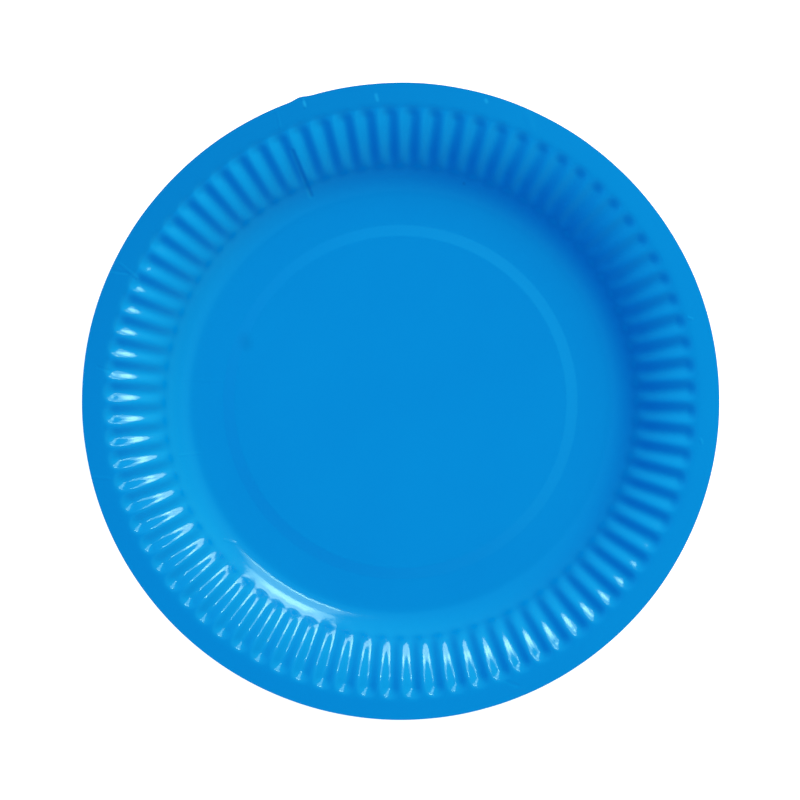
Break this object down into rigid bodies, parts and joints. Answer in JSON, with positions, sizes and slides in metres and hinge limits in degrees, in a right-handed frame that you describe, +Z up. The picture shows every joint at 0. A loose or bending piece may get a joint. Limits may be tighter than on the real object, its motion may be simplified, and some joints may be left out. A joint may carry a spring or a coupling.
{
  "type": "stack of paper plates",
  "caption": "Stack of round fluted paper plates with raised centres, nested one in the next.",
  "frame": {"origin": "where the stack's axis meets the surface it stands on, level with the underside of the lowest plate's ring", "axes": "+Z up along the axis of the stack, out of the plates' eating side; +X through a ridge of the flutes"},
  "size_m": [0.23, 0.23, 0.0211],
  "materials": {
    "coated_board": "gloss"
  },
  "bodies": {
    "root": {"plate_1": "coated_board", "plate_2": "coated_board", "plate_3": "coated_board", "plate_4": "coated_board", "plate_5": "coated_board", "plate_6": "coated_board", "plate_7": "coated_board", "plate_8": "coated_board"}
  },
  "joints": []
}
